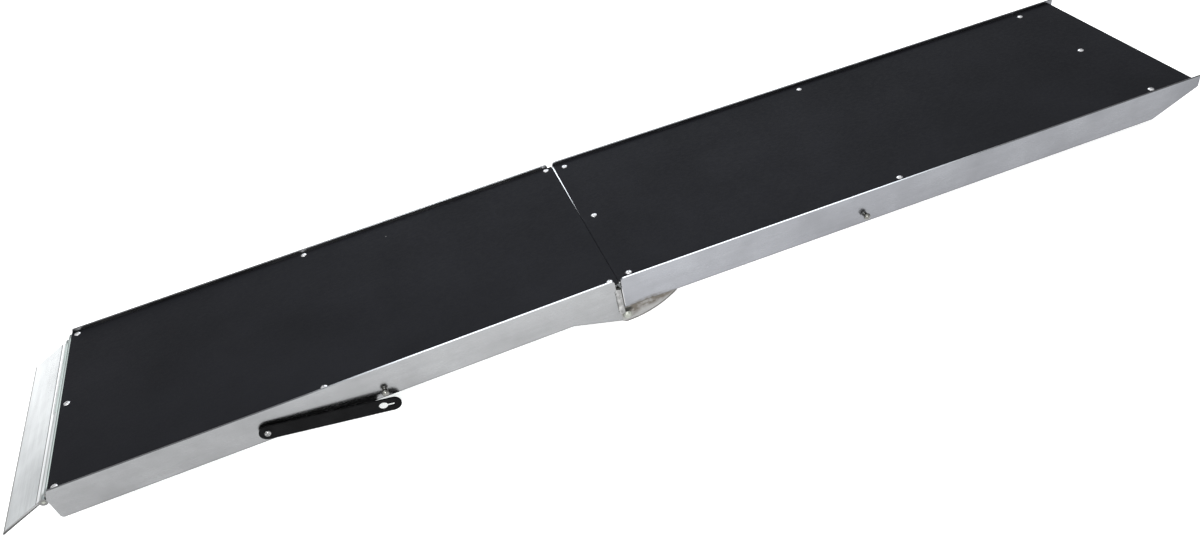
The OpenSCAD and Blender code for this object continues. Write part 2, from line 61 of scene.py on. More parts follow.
def newPiece(name, mesh):
    piece = bpy.data.objects.new(name, mesh)
    bpy.context.scene.collection.objects.link(piece)
    return piece


def applied(piece):
    # turns the modifiers into a plain mesh
    graph = bpy.context.evaluated_depsgraph_get()
    mesh = bpy.data.meshes.new_from_object(piece.evaluated_get(graph))
    old = piece.data
    piece.modifiers.clear()
    piece.data = mesh
    if old.users == 0:
        bpy.data.meshes.remove(old)
    return piece


def mergedCopy(name):
    # a CAD node's loose triangles, joined into flat faces
    mesh = frame["nodes"][name].data.copy()
    mesh.materials.clear()
    work = bmesh.new()
    work.from_mesh(mesh)
    bmesh.ops.remove_doubles(work, verts=work.verts, dist=0.00001)
    bmesh.ops.dissolve_limit(work, angle_limit=radians(0.6), verts=work.verts,
                             edges=work.edges, delimit=set())
    work.to_mesh(mesh)
    work.free()
    return newPiece(name + "Dressed", mesh)


def easeEdges(piece, width, steps=2):
    work = bmesh.new()
    work.from_mesh(piece.data)
    weights = work.edges.layers.float.new("bevel_weight_edge")
    for edge in work.edges:
        if len(edge.link_faces) == 2 and edge.calc_face_angle() > radians(32):
            edge[weights] = 1
    work.to_mesh(piece.data)
    work.free()
    bevel = piece.modifiers.new("ease", "BEVEL")
    bevel.width = width * 0.001
    bevel.segments = steps
    bevel.limit_method = "WEIGHT"
    bevel.use_clamp_overlap = False
    applied(piece)
    piece.data.shade_smooth()
    piece.data.set_sharp_from_angle(angle=radians(42))
    flats = piece.modifiers.new("flats", "WEIGHTED_NORMAL")
    flats.keep_sharp = True
    return applied(piece)


def settle(piece, body, material, nodes):
    piece.data.materials.clear()
    piece.data.materials.append(material)
    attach(piece, body)
    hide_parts(*nodes)
    return piece


def dress(name, material, width, steps=2):
    return settle(easeEdges(mergedCopy(name), width, steps), bodyOf[name], material,
                  [name])


def turnedShape(name, profile, sides):
    # turns (radius, height) points round Z, from the foot to the top
    work = bmesh.new()
    rings = []
    for radius, height in profile:
        count = sides if radius > 0 else 1
        rings.append([work.verts.new((radius * cos(2 * pi * i / sides),
                                      radius * sin(2 * pi * i / sides), height))
                      for i in range(count)])
    for low, high in zip(rings, rings[1:]):
        for i in range(sides):
            j = (i + 1) % sides
            corners = [low[i % len(low)], low[j % len(low)], high[j % len(high)],
                       high[i % len(high)]]
            corners = list(dict.fromkeys(corners))
            if len(corners) > 2:
                work.faces.new(corners)
    bmesh.ops.recalc_face_normals(work, faces=work.faces)
    mesh = bpy.data.meshes.new(name)
    work.to_mesh(mesh)
    work.free()
    mesh.shade_smooth()
    mesh.set_sharp_from_angle(angle=radians(40))
    return newPiece(name, mesh)


# node helpers

def link(tree, source, target):
    tree.links.new(source, target)


def node(tree, kind, inputs=None, **settings):
    made = tree.nodes.new(kind)
    for key, value in settings.items():
        setattr(made, key, value)
    for key, value in (inputs or {}).items():
        made.inputs[key].default_value = value
    return made


def plug(tree, socket, value):
    if hasattr(value, "is_linked"):
        link(tree, value, socket)
    elif value is not None:
        socket.default_value = value


def newMaterial(name, sockets):
    material = bpy.data.materials.new(name)
    material.use_nodes = True
    tree = material.node_tree
    shader = tree.nodes["Principled BSDF"]
    for key, value in sockets.items():
        shader.inputs[key].default_value = value
    return material, tree, shader, node(tree, "ShaderNodeTexCoord").outputs["Object"]


def noise(tree, place, scale, stretch=(1, 1, 1), detail=3, rough=0.5):
    mapped = node(tree, "ShaderNodeMapping", {"Scale": stretch})
    link(tree, place, mapped.inputs["Vector"])
    made = node(tree, "ShaderNodeTexNoise", {"Scale": scale, "Detail": detail,
                                             "Roughness": rough})
    link(tree, mapped.outputs["Vector"], made.inputs["Vector"])
    return made.outputs["Fac"]


def spread(tree, value, fromLow, fromHigh, toLow=0.0, toHigh=1.0):
    made = node(tree, "ShaderNodeMapRange", {"From Min": fromLow, "From Max": fromHigh,
                                             "To Min": toLow, "To Max": toHigh})
    link(tree, value, made.inputs["Value"])
    return made.outputs["Result"]


def calc(tree, operation, *values):
    made = node(tree, "ShaderNodeMath", operation=operation)
    for socket, value in zip(made.inputs, values):
        plug(tree, socket, value)
    return made.outputs[0]


def weighed(tree, *pairs):
    # the sum of (value, share) pairs
    total = None
    for value, share in pairs:
        part = calc(tree, "MULTIPLY", value, share)
        total = part if total is None else calc(tree, "ADD", total, part)
    return total


def blendColours(tree, factor, first, second):
    made = node(tree, "ShaderNodeMix", data_type="RGBA")
    for socket, colour in ((made.inputs[6], first), (made.inputs[7], second)):
        plug(tree, socket, colour if hasattr(colour, "is_linked") else (*colour, 1))
    link(tree, factor, made.inputs[0])
    return made.outputs[2]


def dimmed(tree, colour, factor):
    made = node(tree, "ShaderNodeVectorMath", operation="SCALE")
    link(tree, colour, made.inputs[0])
    link(tree, factor, made.inputs["Scale"])
    return made.outputs[0]


def axis(tree, place, name):
    parts = node(tree, "ShaderNodeSeparateXYZ")
    link(tree, place, parts.inputs[0])
    return parts.outputs[name]


def spot(tree, place, centre, radii):
    # 1 at a point, falling to 0 at the radii along X and Z
    off = node(tree, "ShaderNodeVectorMath", {1: centre}, operation="SUBTRACT")
    link(tree, place, off.inputs[0])
    shares = (1000 / radii[0], 0, 1000 / radii[1])
    scaled = node(tree, "ShaderNodeVectorMath", {1: shares}, operation="MULTIPLY")
    link(tree, off.outputs[0], scaled.inputs[0])
    far = node(tree, "ShaderNodeVectorMath", operation="LENGTH")
    link(tree, scaled.outputs[0], far.inputs[0])
    return spread(tree, far.outputs["Value"], 1, 0)


def drawn(tree, place, half):
    # X and Z in a half's own millimetres, from the shared frame's metres
    back = half.inverted()
    sides = []
    for row in (0, 2):
        shares = [(axis(tree, place, name), back[row][i]) for i, name in enumerate("XYZ")
                  if abs(back[row][i]) > 0.001]
        sides.append(calc(tree, "ADD", weighed(tree, *shares), back[row][3]))
    return sides


def within(tree, value, low, high, soft=0.3):
    # 1 between two limits, with soft ends
    return calc(tree, "MINIMUM", spread(tree, value, low - soft, low),
                spread(tree, value, high, high + soft, 1, 0))


def bumps(tree, shader, *layers):
    # each layer is (height, distance in metres, strength)
    last = None
    for height, distance, strength in layers:
        made = node(tree, "ShaderNodeBump", {"Distance": distance, "Strength": strength})
        link(tree, height, made.inputs["Height"])
        if last:
            link(tree, last, made.inputs["Normal"])
        last = made.outputs["Normal"]
    link(tree, last, shader.inputs["Normal"])


# aluminium, as it leaves the mill

def millFinish(name, tint, second, roughness, along="X", streak=0.06, patch=0.06, bump=0.12,
               patchSize=17.0):
    # fine drawn lines along one axis over soft patches
    material, tree, shader, place = newMaterial(name, {"Metallic": 1.0})
    thin = {"X": (1.2, 90, 90), "Y": (90, 1.2, 90), "Z": (90, 90, 1.2)}[along]
    wide = {"X": (3, 26, 26), "Y": (26, 3, 26), "Z": (26, 26, 3)}[along]
    lines = noise(tree, place, 14, thin, 4, 0.65)
    bands = noise(tree, place, 4, wide)
    patches = noise(tree, place, patchSize, (1, 1, 1), 4, 0.58)
    shade = weighed(tree, (lines, streak), (bands, streak * 0.7), (patches, patch))
    middle = 0.5 * (1.7 * streak + patch)
    reach = 0.13 * (1.7 * streak + patch)
    low = tuple(c * (1 - streak - patch) for c in tint)
    high = tuple(c * (1 + streak + patch) for c in second)
    base = blendColours(tree, spread(tree, shade, middle - reach, middle + reach), low, high)
    link(tree, base, shader.inputs["Base Color"])
    rough = weighed(tree, (lines, 0.5), (patches, 0.5))
    link(tree, spread(tree, rough, 0.36, 0.64, roughness - 0.05, roughness + 0.06),
         shader.inputs["Roughness"])
    bumps(tree, shader, (lines, 0.00008, bump), (patches, 0.0006, bump * 0.6))
    return material, tree, shader, place, base


# deck: grip sheets on aluminium sheets

deck = {"gripEdge": 0.15, "sheetEdge": 0.3, "bareWedge": 2.7,
        "black": (0.0040, 0.0042, 0.0056), "worn": (0.0088, 0.0092, 0.0116), "gloss": 0.06,
        "grit": (0.1, 0.1, 0.1), "gritSpacing": 9.0, "gritSize": 0.012,
        "groundTint": (0.44, 0.52, 0.50), "foldTint": (0.66, 0.67, 0.68), "roughness": 0.3,
        # painted shade where the sheets meet at the fold: its colour, gloss, roughness and reach
        "sooty": (0.012, 0.012, 0.013), "sootyGloss": 0.05, "sootyRoughness": 0.95,
        "lowerSoot": (-14, 2), "upperSoot": (-3, -0.95)}


def gripSheetFinish():
    material, tree, shader, place = newMaterial("gripSheet",
                                                {"Specular IOR Level": deck["gloss"]})
    grain = noise(tree, place, 620, (1, 1, 1), 4, 0.6)
    weave = noise(tree, place, 140, (1, 1.6, 1), 2)
    cloud = noise(tree, place, 9)
    mixed = weighed(tree, (grain, 0.5), (cloud, 0.3), (weave, 0.2))
    base = blendColours(tree, spread(tree, mixed, 0.38, 0.62), deck["black"], deck["worn"])
    # a few pale specks of grit
    cells = node(tree, "ShaderNodeTexVoronoi", {"Scale": deck["gritSpacing"], "Randomness": 1.0})
    link(tree, place, cells.inputs["Vector"])
    speck = calc(tree, "LESS_THAN", cells.outputs["Distance"], deck["gritSize"])
    base = blendColours(tree, speck, base, deck["grit"])
    link(tree, base, shader.inputs["Base Color"])
    link(tree, spread(tree, weave, 0.3, 0.7, 0.5, 0.66), shader.inputs["Roughness"])
    bumps(tree, shader, (grain, 0.0004, 0.5), (weave, 0.0006, 0.25))
    return material


def trimmedGrip():
    # the upper sheet's end is cut a little askew, so the fold shows bare metal on the far side
    piece = mergedCopy("upper_grip")
    middle = joints["fold"]["pos_m"][1]
    work = bmesh.new()
    work.from_mesh(piece.data)
    bmesh.ops.bisect_plane(work, geom=work.verts[:] + work.edges[:] + work.faces[:],
                           plane_co=(0, middle, 0), plane_no=(0, 1, 0))
    foldEnd = min(vertex.co.x for vertex in work.verts)
    for vertex in work.verts:
        side = (vertex.co.y - middle) * 1000 / sheetHalf
        if vertex.co.x - foldEnd < 0.001 and side > 0:
            vertex.co.x += side * deck["bareWedge"] * 0.001
    work.to_mesh(piece.data)
    work.free()
    easeEdges(piece, deck["gripEdge"])
    return settle(piece, "upper_half", grip, ["upper_grip"])


grip = gripSheetFinish()
dress("lower_grip", grip, deck["gripEdge"])
trimmedGrip()


def deckSheetFinish(name, tint, half, ends):
    # painted shade: the sheets are painted dark, matte and not metallic where they meet at the fold
    material, tree, shader, place, base = millFinish(name + "Mill", tint, tint,
                                                     deck["roughness"])
    sooty = within(tree, drawn(tree, place, half)[0], *ends)
    link(tree, blendColours(tree, sooty, base, deck["sooty"]), shader.inputs["Base Color"])
    link(tree, spread(tree, sooty, 0, 1, 1, 0), shader.inputs["Metallic"])
    link(tree, spread(tree, sooty, 0, 1, 0.5, deck["sootyGloss"]),
         shader.inputs["Specular IOR Level"])
    link(tree, spread(tree, sooty, 0, 1, deck["roughness"], deck["sootyRoughness"]),
         shader.inputs["Roughness"])
    return material


for name, tint, half, ends in (("lower_deck", deck["groundTint"], lowerHalf, deck["lowerSoot"]),
                               ("upper_deck", deck["foldTint"], upperHalf, deck["upperSoot"])):
    dress(name, deckSheetFinish(name, tint, half, ends), deck["sheetEdge"])
print("ramp: deck sheets laid")

# side rails and cross bars

rails = {"edge": 0.45, "lipTop": 5.55, "drop": -49, "flareX": -81, "flare": 24 / 74,
         "lower": (0.245, 0.249, 0.254), "upper": (0.232, 0.238, 0.254), "roughness": 0.25,
         # painted light on the rails: shade along them and at their foot, highlight and shade on their lips
         "lowerDull": (-560, -250, 0.85, 1), "upperDull": (60, 430, 1, 0.87),
         "lowerShine": (-470, -290), "upperShine": (680, 360), "foot": (0.7, 1.9, 0.5, 1),
         "nearLip": (0.50, 0.505, 0.515), "farLip": (0.21, 0.214, 0.218),
         "endLip": (0.13, 0.132, 0.138), "farLine": (0.09, 0.09, 0.09),
         "farLineAt": (0.1763, 0.1767), "foldEnd": (0.5, 0.5, 0.5), "foldEndAt": (-42, -15, 4),
         "sootAt": (-8, 1, 3), "tip": (930, 1006, 1, 0.72), "weldX": -9.4,
         "weldZ": (-58, -14), "burnWidth": 0.9, "burn": (0.075, 0.075, 0.072),
         "smudge": (0.085, 0.074, 0.060), "smudgeAt": (40, -50), "smudgeReach": (44, 9)}
bars = {"edge": 0.5, "tint": (0.55, 0.56, 0.57)}


def railMill(name, tint, half, shadeAlong, shine, flare):
    # painted shade away from the fold and along its foot; a painted highlight on top of its lip beside the fold,
    # painted shade on the lip towards its ends and on the far side, and a painted dark line on the far lip's outer
    # edge
    material, tree, shader, place, base = millFinish(name, tint, tint, rails["roughness"],
                                                     "X", 0.03, 0.085, 0.1, 13.0)
    along, rise = drawn(tree, place, half)
    # painted shade, darker away from the fold
    base = dimmed(tree, base, spread(tree, along, *shadeAlong))
    # painted shade along the foot, which follows the flare near the fold
    deeper = calc(tree, "MULTIPLY", calc(tree, "MAXIMUM", calc(tree, "SUBTRACT", along,
                                                               rails["flareX"]), 0), flare)
    height = calc(tree, "ADD", calc(tree, "SUBTRACT", rise, rails["drop"]), deeper)
    base = dimmed(tree, base, spread(tree, height, *rails["foot"]))
    # painted highlight on the near lip top beside the fold, painted shade on the far lip and towards the ends, and
    # a painted dark line on the far lip's outer edge
    across = axis(tree, place, "Y")
    middle = joints["fold"]["pos_m"][1]
    bright = blendColours(tree, spread(tree, across, middle - 0.01, middle + 0.01),
                          rails["nearLip"], rails["farLip"])
    bright = blendColours(tree, spread(tree, along, *shine), rails["endLip"], bright)
    outer = spread(tree, across, *(middle + side for side in rails["farLineAt"]))
    bright = blendColours(tree, outer, bright, rails["farLine"])
    top = spread(tree, rise, rails["lipTop"], rails["lipTop"] + 0.3)
    return material, tree, shader, place, blendColours(tree, top, base, bright)


def lowerRailFinish():
    # heat from the weld has left a dark wavy line near the fold end
    material, tree, shader, place, base = railMill("lowerRailMill", rails["lower"], lowerHalf,
                                                   rails["lowerDull"], rails["lowerShine"],
                                                   rails["flare"])
    weld = lowerHalf @ Vector((rails["weldX"], 0, 0))
    low, high = [(lowerHalf @ Vector((0, 0, z))).z for z in rails["weldZ"]]
    wander = noise(tree, place, 130, (1, 1, 1), 2)
    along, up = axis(tree, place, "X"), axis(tree, place, "Z")
    offset = calc(tree, "ADD", along, calc(tree, "MULTIPLY", wander, 0.004))
    off = calc(tree, "ABSOLUTE", calc(tree, "SUBTRACT", offset, weld.x + 0.002))
    line = spread(tree, off, rails["burnWidth"] * 0.0004, rails["burnWidth"] * 0.0013, 1, 0)
    inside = calc(tree, "MULTIPLY", calc(tree, "GREATER_THAN", up, low),
                  calc(tree, "LESS_THAN", up, high))
    mark = calc(tree, "MULTIPLY", calc(tree, "MULTIPLY", line, inside),
                spread(tree, wander, 0.3, 0.5, 0.45, 0.95))
    link(tree, blendColours(tree, mark, base, rails["burn"]), shader.inputs["Base Color"])
    return material


def upperRailFinish():
    # painted brown shade with some grime above the ear, a painted highlight down its end beside the fold under
    # painted shade on the end's top in the fold gap, and painted shade towards its tip
    material, tree, shader, place, base = railMill("upperRailMill", rails["upper"], upperHalf,
                                                   rails["upperDull"], rails["upperShine"], 0)
    # painted shade, with some grime, where the rail's lower edge meets the ear
    x, z = rails["smudgeAt"]
    rubbed = calc(tree, "MULTIPLY", spot(tree, place, upperHalf @ Vector((x, 0, z)),
                                         rails["smudgeReach"]),
                  spread(tree, noise(tree, place, 110, (1, 1, 1), 3), 0.38, 0.6, 0.5, 1.6))
    base = blendColours(tree, rubbed, base, rails["smudge"])
    along, rise = drawn(tree, place, upperHalf)
    # painted shade towards the tip
    base = dimmed(tree, base, spread(tree, along, *rails["tip"]))
    # painted highlight down the end beside the fold, and painted shade on the end's top in the fold gap
    end = within(tree, along, -1, 1.0)
    for reach, colour in ((rails["foldEndAt"], rails["foldEnd"]),
                          (rails["sootAt"], rails["burn"])):
        mark = calc(tree, "MULTIPLY", end, within(tree, rise, *reach))
        base = blendColours(tree, mark, base, colour)
    link(tree, base, shader.inputs["Base Color"])
    return material


lowerRail, upperRail = lowerRailFinish(), upperRailFinish()
for side in ("near", "far"):
    dress("lower_rail_" + side, lowerRail, rails["edge"], 3)
    dress("upper_rail_" + side, upperRail, rails["edge"], 3)
barMetal = millFinish("barMill", bars["tint"], bars["tint"], 0.34, "Y")[0]
for half, place in (("lower", "end"), ("lower", "mid"), ("lower", "fold"), ("upper", "fold"),
                    ("upper", "mid"), ("upper", "end")):
    dress(half + "_" + place + "_bar", barMetal, bars["edge"])
print("ramp: rails and cross bars dressed")

# fold joint: blocks, ears and welds

hinge = {"edge": 0.5, "earEdge": 1.0, "block": (0.23, 0.23, 0.228),
         "clean": (0.24, 0.24, 0.235), "rubbed": (0.078, 0.065, 0.051),
         "rubbedAt": (((40, -48), (60, 19)), ((10, -58), (20, 16))),
         "dark": (0.022, 0.023, 0.021), "darkAt": ((3, -57), (11, 5)),
         "rim": (0.05, 0.045, 0.04), "rimInside": (3.0, 2.1), "curve": (2.5, 58.5, 139),
         "tabTop": (-13.5, -12.7), "weld": ((0.20, 0.20, 0.198), (0.30, 0.30, 0.298)),
         "bead": {"x": -6.0, "top": -13, "foot": -57, "pitch": 2.1,
                  "wander": 1.0, "across": 3.2, "along": 1.9, "rise": 0.8}}


def earFinish():
    # painted brown shade with some grime where the ear leaves the rail, a painted shadow above the pivot, and
    # painted shade along its curved edge
    material, tree, shader, place = newMaterial("hingeEar", {"Metallic": 0.9})
    lines = noise(tree, place, 14, (1.2, 90, 90), 4)
    patches = noise(tree, place, 95, (1, 1, 1), 4, 0.6)
    clean = blendColours(tree, spread(tree, lines, 0.35, 0.65), hinge["clean"],
                         tuple(c * 1.2 for c in hinge["clean"]))
    # painted shade under the rail's edge and a painted shadow above the pivot
    below, beside, crescent = [spot(tree, place, upperHalf @ Vector((x, 0, z)), radii)
                               for (x, z), radii in (*hinge["rubbedAt"], hinge["darkAt"])]
    mottle = spread(tree, patches, 0.36, 0.62, 0.5, 2.3)
    rubbed = calc(tree, "MULTIPLY", calc(tree, "MAXIMUM", below, beside), mottle)
    base = blendColours(tree, calc(tree, "MINIMUM", rubbed, 0.85), clean, hinge["rubbed"])
    base = blendColours(tree, calc(tree, "MINIMUM", calc(tree, "MULTIPLY", crescent, 2.0),
                                   0.95), base, hinge["dark"])
    # painted shade along the ear's curved lower edge
    x, z, radius = hinge["curve"]
    along, rise = drawn(tree, place, upperHalf)
    away = [calc(tree, "POWER", calc(tree, "SUBTRACT", value, centre), 2.0)
            for value, centre in ((along, x), (rise, z))]
    rim = spread(tree, calc(tree, "SQRT", calc(tree, "ADD", *away)),
                 *(radius - inside for inside in hinge["rimInside"]))
    link(tree, blendColours(tree, rim, base, hinge["rim"]), shader.inputs["Base Color"])
    link(tree, spread(tree, patches, 0.3, 0.7, 0.32, 0.5), shader.inputs["Roughness"])
    bumps(tree, shader, (lines, 0.0001, 0.15), (patches, 0.0004, 0.25))
    return material


def treeInput(tree, name, kind, value=None):
    made = tree.interface.new_socket(name, in_out="INPUT", socket_type=kind)
    if value is not None:
        made.default_value = value
    return made.identifier


def beadTree():
    # ripples at an even pitch along a path, each a little different
    tree = bpy.data.node_groups.new("weldBead", "GeometryNodeTree")
    keys = {"Path": treeInput(tree, "Path", "NodeSocketGeometry"),
            "Ripple": treeInput(tree, "Ripple", "NodeSocketObject"),
            "Pitch": treeInput(tree, "Pitch", "NodeSocketFloat", 1.5),
            "Wander": treeInput(tree, "Wander", "NodeSocketFloat", 0.3),
            "Seed": treeInput(tree, "Seed", "NodeSocketInt", 1),
            "Finish": treeInput(tree, "Finish", "NodeSocketMaterial")}
    tree.interface.new_socket("Bead", in_out="OUTPUT", socket_type="NodeSocketGeometry")
    entry = node(tree, "NodeGroupInput")
    curve = node(tree, "GeometryNodeMeshToCurve")
    link(tree, entry.outputs["Path"], curve.inputs[0])
    even = node(tree, "GeometryNodeResampleCurve", mode="LENGTH")
    link(tree, curve.outputs[0], even.inputs["Curve"])
    link(tree, entry.outputs["Pitch"], even.inputs["Length"])
    stray = node(tree, "FunctionNodeRandomValue", data_type="FLOAT_VECTOR")
    stray.inputs[0].default_value = (-1, 0, -0.4)
    stray.inputs[1].default_value = (1, 0, 0.4)
    link(tree, entry.outputs["Seed"], stray.inputs["Seed"])
    shift = node(tree, "ShaderNodeVectorMath", operation="SCALE")
    link(tree, stray.outputs[0], shift.inputs[0])
    link(tree, entry.outputs["Wander"], shift.inputs["Scale"])
    moved = node(tree, "GeometryNodeSetPosition")
    link(tree, even.outputs[0], moved.inputs["Geometry"])
    link(tree, shift.outputs[0], moved.inputs["Offset"])
    size = node(tree, "FunctionNodeRandomValue", data_type="FLOAT_VECTOR")
    size.inputs[0].default_value = (0.8, 0.75, 0.85)
    size.inputs[1].default_value = (1.15, 1.1, 1.2)
    link(tree, calc(tree, "ADD", entry.outputs["Seed"], 7), size.inputs["Seed"])
    shape = node(tree, "GeometryNodeObjectInfo")
    link(tree, entry.outputs["Ripple"], shape.inputs["Object"])
    placed = node(tree, "GeometryNodeInstanceOnPoints")
    link(tree, moved.outputs[0], placed.inputs["Points"])
    link(tree, shape.outputs["Geometry"], placed.inputs["Instance"])
    link(tree, size.outputs[0], placed.inputs["Scale"])
    finishTree(tree, placed.outputs[0], entry.outputs["Finish"])
    return tree, keys


def finishTree(tree, instances, finish):
    solid = node(tree, "GeometryNodeRealizeInstances")
    painted = node(tree, "GeometryNodeSetMaterial")
    link(tree, instances, solid.inputs[0])
    link(tree, solid.outputs[0], painted.inputs["Geometry"])
    link(tree, finish, painted.inputs["Material"])
    link(tree, painted.outputs[0], node(tree, "NodeGroupOutput").inputs[0])


def runTree(name, mesh, treeAndKeys, values):
    piece = newPiece(name, mesh)
    setter = piece.modifiers.new("nodes", "NODES")
    setter.node_group = treeAndKeys[0]
    for key, value in values.items():
        setter[treeAndKeys[1][key]] = value
    return applied(piece)


def rippleShape():
    bead = hinge["bead"]
    steps = 5
    profile = [(sin(0.5 * pi * i / steps), cos(0.5 * pi * i / steps))
               for i in range(steps, -1, -1)]
    shape = turnedShape("ripple", [(0, -0.4), (0.8, -0.4)] + profile[:-1] + [(0, 1)], 12)
    shape.data.transform(Matrix.Rotation(pi / 2, 4, "X"))
    shape.data.transform(Matrix.Diagonal((bead["across"], bead["rise"], bead["along"], 1)))
    return shape


def weldBeads(metal):
    bead = hinge["bead"]
    tree, ripple = beadTree(), rippleShape()
    for side, seed in ((-1, 4), (1, 9)):
        y = side * halfWidth
        path = bpy.data.meshes.new("weldPath")
        path.from_pydata([(bead["x"], y, bead["top"]), (bead["x"], y, bead["foot"])], [(0, 1)],
                         [])
        name = "weldBeadNear" if side < 0 else "weldBeadFar"
        piece = runTree(name, path, tree, {"Ripple": ripple, "Pitch": bead["pitch"],
                                           "Wander": bead["wander"], "Seed": seed,
                                           "Finish": metal})
        piece.data.transform(lowerHalf)
        piece.data.materials.clear()
        piece.data.materials.append(metal)
        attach(piece, "lower_half")
    bpy.data.objects.remove(ripple)


def blockFinish():
    # painted shade on top of the tab, down in the fold's funnel
    material, tree, shader, place, base = millFinish("blockMill", hinge["block"], hinge["block"],
                                                     0.34, "Z", 0.03, 0.16, 0.3, 70.0)
    top = spread(tree, drawn(tree, place, lowerHalf)[1], *hinge["tabTop"])
    link(tree, blendColours(tree, top, base, hinge["dark"]), shader.inputs["Base Color"])
    return material


ear, block = earFinish(), blockFinish()
weldMetal = millFinish("weldMetal", *hinge["weld"], 0.36, "Z", 0.06, 0.24, 0.3, 90.0)[0]
for side in ("near", "far"):
    dress("hinge_block_" + side, block, hinge["edge"])
    dress("hinge_ear_" + side, ear, hinge["earEdge"])
weldBeads(weldMetal)
print("ramp: fold joint dressed and welded")

# ground flap and its leaf

flap = {"edge": 0.6, "rest": 24.5, "length": 76, "axis": (-839, -14.5), "half": 174.5,
        "tint": (0.54, 0.555, 0.565), "bright": (0.65, 0.67, 0.675), "roughness": 0.3,
        "sawn": (0.26, 0.26, 0.26), "sawnDepth": (0.6, 0.2), "sawnFoot": (0.06, 0.06, 0.06),
        "footTaper": 0.025, "footTop": (3.3, 2.7), "plateFrom": (4, 6),
        "barrelEnd": (0.14, 0.14, 0.138), "barrelBack": (-1.4, -2.0), "cornerDepth": (14, 8),
        "toe": (0.22, 0.22, 0.22), "toeWidth": (8.0, 7.0),
        "groove": (0.22, 0.22, 0.22), "grooveAt": (7.5, 9.3), "rubbed": (0.85, 0.86, 0.87),
        "rubbedAt": (2.3, 6.6), "crest": (0.36, 0.37, 0.37), "crestAt": (-1.0, 1.2),
        "leaf": (0.52, 0.60, 0.58), "leafBright": (0.64, 0.72, 0.70),
        "seam": (0.24, 0.26, 0.26), "seamAt": (-831.6, -830.5), "seamTop": (-2, -1.5)}


def flapPlace(tree, place):
    # millimetres from the pin along the flap and square to it, and inwards from its nearer end
    turn, (pinX, pinZ) = radians(flap["rest"]), flap["axis"]
    x, z = drawn(tree, place, lowerHalf)
    reach = calc(tree, "SUBTRACT", pinX * cos(turn) + pinZ * sin(turn),
                 weighed(tree, (x, cos(turn)), (z, sin(turn))))
    lift = calc(tree, "SUBTRACT", weighed(tree, (z, cos(turn)), (x, -sin(turn))),
                pinZ * cos(turn) - pinX * sin(turn))
    across = calc(tree, "ABSOLUTE", calc(tree, "SUBTRACT", axis(tree, place, "Y"),
                                         joints["fold"]["pos_m"][1]))
    inwards = calc(tree, "SUBTRACT", flap["half"], calc(tree, "MULTIPLY", across, 1000))
    return x, z, reach, lift, inwards


def flapFinish(name, tint, bright):
    # sawn and darker at both ends, with painted shade along their foot; painted shade at its toe, on its crest, in
    # its groove, along its seam and on the barrel's back near both ends; a painted highlight beside the barrel
    material, tree, shader, place, base = millFinish(name, tint, bright, flap["roughness"],
                                                     "Y", 0.04, 0.07, 0.2, 11.0)
    x, z, reach, lift, inwards = flapPlace(tree, place)
    plate = spread(tree, reach, *flap["plateFrom"])
    thickness = weighed(tree, (lift, 1), (reach, -flap["footTaper"]))
    # painted shade along the foot of each end
    foot = calc(tree, "MULTIPLY", plate, spread(tree, thickness, *flap["footTop"]))
    sawnTint = blendColours(tree, plate, flap["barrelEnd"], flap["sawn"])
    sawnTint = blendColours(tree, foot, sawnTint, flap["sawnFoot"])
    sawn = spread(tree, inwards, *flap["sawnDepth"])
    # painted shade along the toe
    toe = spread(tree, reach, *(flap["length"] - back for back in flap["toeWidth"]))
    # painted shade on the back of the barrel near both ends
    cornerEnd = calc(tree, "MULTIPLY", spread(tree, reach, *flap["barrelBack"]),
                     spread(tree, inwards, *flap["cornerDepth"]))
    # painted shade along the seam between barrel and leaf
    seam = calc(tree, "MULTIPLY", within(tree, x, *flap["seamAt"]),
                spread(tree, z, *flap["seamTop"]))
    # painted highlight beside the barrel, painted shade on its crest and in its groove
    for mask, colour in ((toe, flap["toe"]),
                         (within(tree, reach, *flap["rubbedAt"]), flap["rubbed"]),
                         (within(tree, reach, *flap["crestAt"]), flap["crest"]),
                         (within(tree, reach, *flap["grooveAt"], 0.1), flap["groove"]),
                         (cornerEnd, flap["seam"]), (seam, flap["seam"]), (sawn, sawnTint)):
        base = blendColours(tree, mask, base, colour)
    link(tree, base, shader.inputs["Base Color"])
    return material


flapMetal = flapFinish("flapMill", flap["tint"], flap["bright"])
leafMetal = flapFinish("leafMill", flap["leaf"], flap["leafBright"])
dress("ground_flap", flapMetal, flap["edge"])
dress("flap_leaf", leafMetal, flap["edge"])
print("ramp: flap dressed")

# latch strap

strap = {"edge": 0.6, "black": (0.0020, 0.0020, 0.0023), "dusty": (0.0045, 0.0046, 0.0050),
         "gloss": 0.035}


def strapFinish():
    material, tree, shader, place = newMaterial("strapRubber",
                                                {"Specular IOR Level": strap["gloss"]})
    grain = noise(tree, place, 900)
    dust = noise(tree, place, 45, (1, 1, 1), 4, 0.6)
    base = blendColours(tree, spread(tree, dust, 0.4, 0.75), strap["black"], strap["dusty"])
    link(tree, base, shader.inputs["Base Color"])
    link(tree, spread(tree, dust, 0.3, 0.7, 0.4, 0.55), shader.inputs["Roughness"])
    bumps(tree, shader, (grain, 0.0002, 0.25), (dust, 0.0008, 0.12))
    return material


dress("latch_strap", strapFinish(), strap["edge"], 3)
print("ramp: strap dressed")

# bolts, studs, nuts and washers

hardware = {"zinc": (0.50, 0.50, 0.49), "dull": (0.30, 0.31, 0.28), "stud": (0.15, 0.15, 0.14),
            "screw": (0.24, 0.24, 0.24), "nylon": (0.04, 0.04, 0.043), "roughness": 0.2}


